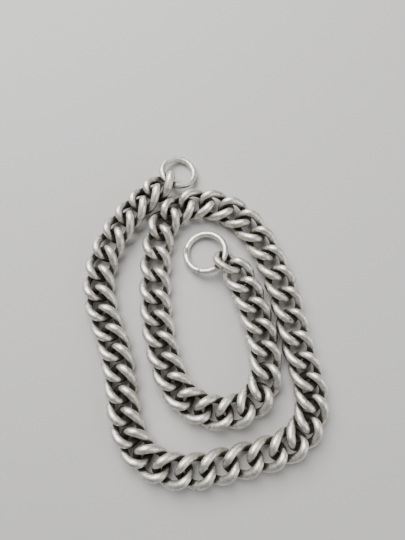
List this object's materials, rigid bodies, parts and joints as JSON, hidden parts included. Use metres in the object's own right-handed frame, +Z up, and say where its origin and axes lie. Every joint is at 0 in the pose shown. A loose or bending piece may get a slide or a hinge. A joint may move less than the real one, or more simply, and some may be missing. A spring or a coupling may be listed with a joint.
{
  "type": "pocket watch chain",
  "caption": "Heavy curb-link pocket watch chain with a plain round ring at each end, lying in a loose spiral.",
  "frame": {"origin": "middle of the chain's box, on the surface that it lies on", "axes": "+Z up from the surface; +Y along the spiral's long way, towards the bar ring; +X to the right of it"},
  "size_m": [0.068, 0.0944, 0.0076],
  "materials": {
    "link_silver": "satin worn silver, dark tarnish in the crevices",
    "ring_silver": "satin worn silver, a little brighter than the links"
  },
  "bodies": {
    "bar_ring": {"bar_ring": "ring_silver"},
    "link_01": {"link_01": "link_silver"},
    "link_02": {"link_02": "link_silver"},
    "link_03": {"link_03": "link_silver"},
    "link_04": {"link_04": "link_silver"},
    "link_05": {"link_05": "link_silver"},
    "link_06": {"link_06": "link_silver"},
    "link_07": {"link_07": "link_silver"},
    "link_08": {"link_08": "link_silver"},
    "link_09": {"link_09": "link_silver"},
    "link_10": {"link_10": "link_silver"},
    "link_11": {"link_11": "link_silver"},
    "link_12": {"link_12": "link_silver"},
    "link_13": {"link_13": "link_silver"},
    "link_14": {"link_14": "link_silver"},
    "link_15": {"link_15": "link_silver"},
    "link_16": {"link_16": "link_silver"},
    "link_17": {"link_17": "link_silver"},
    "link_18": {"link_18": "link_silver"},
    "link_19": {"link_19": "link_silver"},
    "link_20": {"link_20": "link_silver"},
    "link_21": {"link_21": "link_silver"},
    "link_22": {"link_22": "link_silver"},
    "link_23": {"link_23": "link_silver"},
    "link_24": {"link_24": "link_silver"},
    "link_25": {"link_25": "link_silver"},
    "link_26": {"link_26": "link_silver"},
    "link_27": {"link_27": "link_silver"},
    "link_28": {"link_28": "link_silver"},
    "link_29": {"link_29": "link_silver"},
    "link_30": {"link_30": "link_silver"},
    "link_31": {"link_31": "link_silver"},
    "link_32": {"link_32": "link_silver"},
    "link_33": {"link_33": "link_silver"},
    "link_34": {"link_34": "link_silver"},
    "link_35": {"link_35": "link_silver"},
    "link_36": {"link_36": "link_silver"},
    "link_37": {"link_37": "link_silver"},
    "link_38": {"link_38": "link_silver"},
    "link_39": {"link_39": "link_silver"},
    "link_40": {"link_40": "link_silver"},
    "link_41": {"link_41": "link_silver"},
    "link_42": {"link_42": "link_silver"},
    "link_43": {"link_43": "link_silver"},
    "link_44": {"link_44": "link_silver"},
    "link_45": {"link_45": "link_silver"},
    "link_46": {"link_46": "link_silver"},
    "link_47": {"link_47": "link_silver"},
    "link_48": {"link_48": "link_silver"},
    "link_49": {"link_49": "link_silver"},
    "link_50": {"link_50": "link_silver"},
    "link_51": {"link_51": "link_silver"},
    "link_52": {"link_52": "link_silver"},
    "link_53": {"link_53": "link_silver"},
    "link_54": {"link_54": "link_silver"},
    "link_55": {"link_55": "link_silver"},
    "link_56": {"link_56": "link_silver"},
    "link_57": {"link_57": "link_silver"},
    "watch_ring": {"watch_ring": "ring_silver"}
  },
  "joints": [
    {"name": "bar_ring_hinge", "type": "hinge", "parent": "bar_ring", "child": "link_01", "pos_m": [-0.01065, 0.03823, 0.00387], "axis": [0.6866, -0.727, 0], "range_deg": [-60, 45]},
    {"name": "link_01_02_hinge", "type": "hinge", "parent": "link_01", "child": "link_02", "pos_m": [-0.01429, 0.03479, 0.00372], "axis": [-0.6857, 0.7279, 0], "range_deg": [-20, 20]},
    {"name": "link_02_03_hinge", "type": "hinge", "parent": "link_02", "child": "link_03", "pos_m": [-0.01846, 0.03096, 0.00353], "axis": [0.7154, -0.6988, 0], "range_deg": [-20, 20]},
    {"name": "link_03_04_hinge", "type": "hinge", "parent": "link_03", "child": "link_04", "pos_m": [-0.02235, 0.02667, 0.00332], "axis": [-0.7935, 0.6086, 0], "range_deg": [-20, 20]},
    {"name": "link_04_05_hinge", "type": "hinge", "parent": "link_04", "child": "link_05", "pos_m": [-0.02569, 0.02161, 0.00314], "axis": [0.876, -0.4824, 0], "range_deg": [-20, 20]},
    {"name": "link_05_06_hinge", "type": "hinge", "parent": "link_05", "child": "link_06", "pos_m": [-0.02825, 0.01599, 0.00298], "axis": [-0.9494, 0.3139, 0], "range_deg": [-20, 20]},
    {"name": "link_06_07_hinge", "type": "hinge", "parent": "link_06", "child": "link_07", "pos_m": [-0.02958, 0.01002, 0.0029], "axis": [0.994, -0.1095, 0], "range_deg": [-20, 20]},
    {"name": "link_07_08_hinge", "type": "hinge", "parent": "link_07", "child": "link_08", "pos_m": [-0.02961, 0.00406, 0.0029], "axis": [-0.9916, -0.1297, 0], "range_deg": [-20, 20]},
    {"name": "link_08_09_hinge", "type": "hinge", "parent": "link_08", "child": "link_09", "pos_m": [-0.02802, -0.00161, 0.0029], "axis": [0.9482, 0.3177, 0], "range_deg": [-20, 20]},
    {"name": "link_09_10_hinge", "type": "hinge", "parent": "link_09", "child": "link_10", "pos_m": [-0.02571, -0.00695, 0.0029], "axis": [-0.9308, -0.3654, 0], "range_deg": [-20, 20]},
    {"name": "link_10_11_hinge", "type": "hinge", "parent": "link_10", "child": "link_11", "pos_m": [-0.02362, -0.01227, 0.0029], "axis": [0.9584, 0.2853, 0], "range_deg": [-20, 20]},
    {"name": "link_11_12_hinge", "type": "hinge", "parent": "link_11", "child": "link_12", "pos_m": [-0.02244, -0.01782, 0.0029], "axis": [-0.983, -0.1836, 0], "range_deg": [-20, 20]},
    {"name": "link_12_13_hinge", "type": "hinge", "parent": "link_12", "child": "link_13", "pos_m": [-0.02167, -0.02341, 0.0029], "axis": [0.9866, 0.1634, 0], "range_deg": [-20, 20]},
    {"name": "link_13_14_hinge", "type": "hinge", "parent": "link_13", "child": "link_14", "pos_m": [-0.02073, -0.02895, 0.0029], "axis": [-0.974, -0.2264, 0], "range_deg": [-20, 20]},
    {"name": "link_14_15_hinge", "type": "hinge", "parent": "link_14", "child": "link_15", "pos_m": [-0.01937, -0.03442, 0.0029], "axis": [0.9008, 0.4342, 0], "range_deg": [-20, 20]},
    {"name": "link_15_16_hinge", "type": "hinge", "parent": "link_15", "child": "link_16", "pos_m": [-0.016, -0.03912, 0.0029], "axis": [-0.674, -0.7388, 0], "range_deg": [-20, 20]},
    {"name": "link_16_17_hinge", "type": "hinge", "parent": "link_16", "child": "link_17", "pos_m": [-0.0108, -0.04223, 0.0029], "axis": [0.3447, 0.9387, 0], "range_deg": [-20, 20]},
    {"name": "link_17_18_hinge", "type": "hinge", "parent": "link_17", "child": "link_18", "pos_m": [-0.00471, -0.04309, 0.0029], "axis": [-0.0275, -0.9996, 0], "range_deg": [-20, 20]},
    {"name": "link_18_19_hinge", "type": "hinge", "parent": "link_18", "child": "link_19", "pos_m": [0.00144, -0.04238, 0.0029], "axis": [-0.1687, 0.9857, 0], "range_deg": [-20, 20]},
    {"name": "link_19_20_hinge", "type": "hinge", "parent": "link_19", "child": "link_20", "pos_m": [0.0076, -0.04079, 0.0029], "axis": [0.2216, -0.9751, 0], "range_deg": [-20, 20]},
    {"name": "link_20_21_hinge", "type": "hinge", "parent": "link_20", "child": "link_21", "pos_m": [0.0139, -0.0395, 0.0029], "axis": [-0.2455, 0.9694, 0], "range_deg": [-20, 20]},
    {"name": "link_21_22_hinge", "type": "hinge", "parent": "link_21", "child": "link_22", "pos_m": [0.0199, -0.03784, 0.0029], "axis": [0.3527, -0.9357, 0], "range_deg": [-20, 20]},
    {"name": "link_22_23_hinge", "type": "hinge", "parent": "link_22", "child": "link_23", "pos_m": [0.0253, -0.03553, 0.0029], "axis": [-0.6192, 0.7853, 0], "range_deg": [-18, 18]},
    {"name": "link_23_24_hinge", "type": "hinge", "parent": "link_23", "child": "link_24", "pos_m": [0.0289, -0.0311, 0.0029], "axis": [0.8999, -0.4362, 0], "range_deg": [-15, 15]},
    {"name": "link_24_25_hinge", "type": "hinge", "parent": "link_24", "child": "link_25", "pos_m": [0.03008, -0.02553, 0.0029], "axis": [-0.9987, 0.0517, 0], "range_deg": [-20, 20]},
    {"name": "link_25_26_hinge", "type": "hinge", "parent": "link_25", "child": "link_26", "pos_m": [0.02925, -0.01995, 0.0029], "axis": [0.9807, 0.1955, 0], "range_deg": [-20, 20]},
    {"name": "link_26_27_hinge", "type": "hinge", "parent": "link_26", "child": "link_27", "pos_m": [0.02757, -0.01442, 0.0029], "axis": [-0.9644, -0.2645, 0], "range_deg": [-20, 20]},
    {"name": "link_27_28_hinge", "type": "hinge", "parent": "link_27", "child": "link_28", "pos_m": [0.02594, -0.00851, 0.0029], "axis": [0.9737, 0.2277, 0], "range_deg": [-20, 20]},
    {"name": "link_28_29_hinge", "type": "hinge", "parent": "link_28", "child": "link_29", "pos_m": [0.02476, -0.00231, 0.0029], "axis": [-0.9795, -0.2015, 0], "range_deg": [-20, 20]},
    {"name": "link_29_30_hinge", "type": "hinge", "parent": "link_29", "child": "link_30", "pos_m": [0.0235, 0.00387, 0.0029], "axis": [0.9672, 0.2538, 0], "range_deg": [-20, 20]},
    {"name": "link_30_31_hinge", "type": "hinge", "parent": "link_30", "child": "link_31", "pos_m": [0.02161, 0.0099, 0.0029], "axis": [-0.9374, -0.3484, 0], "range_deg": [-20, 20]},
    {"name": "link_31_32_hinge", "type": "hinge", "parent": "link_31", "child": "link_32", "pos_m": [0.0191, 0.01569, 0.0029], "axis": [0.9008, 0.4342, 0], "range_deg": [-20, 20]},
    {"name": "link_32_33_hinge", "type": "hinge", "parent": "link_32", "child": "link_33", "pos_m": [0.01617, 0.02128, 0.0029], "axis": [-0.8395, -0.5433, 0], "range_deg": [-20, 20]},
    {"name": "link_33_34_hinge", "type": "hinge", "parent": "link_33", "child": "link_34", "pos_m": [0.01243, 0.02632, 0.0029], "axis": [0.6809, 0.7324, 0], "range_deg": [-20, 20]},
    {"name": "link_34_35_hinge", "type": "hinge", "parent": "link_34", "child": "link_35", "pos_m": [0.00728, 0.02966, 0.0029], "axis": [-0.4225, -0.9063, 0], "range_deg": [-20, 20]},
    {"name": "link_35_36_hinge", "type": "hinge", "parent": "link_35", "child": "link_36", "pos_m": [0.0015, 0.03148, 0.0029], "axis": [0.1172, 0.9931, 0], "range_deg": [-20, 20]},
    {"name": "link_36_37_hinge", "type": "hinge", "parent": "link_36", "child": "link_37", "pos_m": [-0.00463, 0.03117, 0.0029], "axis": [0.3071, -0.9517, 0], "range_deg": [-20, 20]},
    {"name": "link_37_38_hinge", "type": "hinge", "parent": "link_37", "child": "link_38", "pos_m": [-0.00992, 0.0279, 0.0029], "axis": [-0.7304, 0.683, 0], "range_deg": [-18, 18]},
    {"name": "link_38_39_hinge", "type": "hinge", "parent": "link_38", "child": "link_39", "pos_m": [-0.01274, 0.02228, 0.0029], "axis": [0.9585, -0.285, 0], "range_deg": [-15, 20]},
    {"name": "link_39_40_hinge", "type": "hinge", "parent": "link_39", "child": "link_40", "pos_m": [-0.0132, 0.0159, 0.0029], "axis": [-0.9972, 0.0743, 0], "range_deg": [-20, 20]},
    {"name": "link_40_41_hinge", "type": "hinge", "parent": "link_40", "child": "link_41", "pos_m": [-0.01348, 0.00946, 0.0029], "axis": [0.9999, -0.0109, 0], "range_deg": [-20, 20]},
    {"name": "link_41_42_hinge", "type": "hinge", "parent": "link_41", "child": "link_42", "pos_m": [-0.01336, 0.00312, 0.0029], "axis": [-0.9984, -0.0563, 0], "range_deg": [-20, 20]},
    {"name": "link_42_43_hinge", "type": "hinge", "parent": "link_42", "child": "link_43", "pos_m": [-0.0128, -0.00296, 0.0029], "axis": [0.9903, 0.1388, 0], "range_deg": [-20, 20]},
    {"name": "link_43_44_hinge", "type": "hinge", "parent": "link_43", "child": "link_44", "pos_m": [-0.01169, -0.00885, 0.0029], "axis": [-0.9754, -0.2206, 0], "range_deg": [-20, 20]},
    {"name": "link_44_45_hinge", "type": "hinge", "parent": "link_44", "child": "link_45", "pos_m": [-0.01019, -0.0146, 0.0029], "axis": [0.9518, 0.3067, 0], "range_deg": [-20, 20]},
    {"name": "link_45_46_hinge", "type": "hinge", "parent": "link_45", "child": "link_46", "pos_m": [-0.0082, -0.02012, 0.0029], "axis": [-0.885, -0.4655, 0], "range_deg": [-20, 20]},
    {"name": "link_46_47_hinge", "type": "hinge", "parent": "link_46", "child": "link_47", "pos_m": [-0.00499, -0.02505, 0.0029], "axis": [0.6702, 0.7422, 0], "range_deg": [-20, 20]},
    {"name": "link_47_48_hinge", "type": "hinge", "parent": "link_47", "child": "link_48", "pos_m": [0.00022, -0.02781, 0.0029], "axis": [-0.3228, -0.9465, 0], "range_deg": [-20, 20]},
    {"name": "link_48_49_hinge", "type": "hinge", "parent": "link_48", "child": "link_49", "pos_m": [0.00607, -0.02874, 0.0029], "axis": [-0.0417, 0.9991, 0], "range_deg": [-20, 20]},
    {"name": "link_49_50_hinge", "type": "hinge", "parent": "link_49", "child": "link_50", "pos_m": [0.01199, -0.0274, 0.0029], "axis": [0.4662, -0.8847, 0], "range_deg": [-20, 20]},
    {"name": "link_50_51_hinge", "type": "hinge", "parent": "link_50", "child": "link_51", "pos_m": [0.01657, -0.02329, 0.0029], "axis": [-0.8541, 0.5201, 0], "range_deg": [-15, 15]},
    {"name": "link_51_52_hinge", "type": "hinge", "parent": "link_51", "child": "link_52", "pos_m": [0.018, -0.01732, 0.0029], "axis": [0.997, -0.0779, 0], "range_deg": [-20, 20]},
    {"name": "link_52_53_hinge", "type": "hinge", "parent": "link_52", "child": "link_53", "pos_m": [0.01723, -0.01124, 0.0029], "axis": [-0.9885, -0.1511, 0], "range_deg": [-20, 20]},
    {"name": "link_53_54_hinge", "type": "hinge", "parent": "link_53", "child": "link_54", "pos_m": [0.01595, -0.00523, 0.0029], "axis": [0.9707, 0.2404, 0], "range_deg": [-20, 20]},
    {"name": "link_54_55_hinge", "type": "hinge", "parent": "link_54", "child": "link_55", "pos_m": [0.01426, 0.00067, 0.0029], "axis": [-0.9507, -0.3102, 0], "range_deg": [-20, 20]},
    {"name": "link_55_56_hinge", "type": "hinge", "parent": "link_55", "child": "link_56", "pos_m": [0.01219, 0.00646, 0.0029], "axis": [0.91, 0.4145, 0], "range_deg": [-20, 20]},
    {"name": "link_56_57_hinge", "type": "hinge", "parent": "link_56", "child": "link_57", "pos_m": [0.00938, 0.01199, 0.0032], "axis": [-0.7626, -0.6469, 0], "range_deg": [-15, 10]},
    {"name": "watch_ring_hinge", "type": "hinge", "parent": "link_57", "child": "watch_ring", "pos_m": [0.00611, 0.0138, 0.00357], "axis": [0.438, 0.899, 0], "range_deg": [-20, 60]}
  ]
}
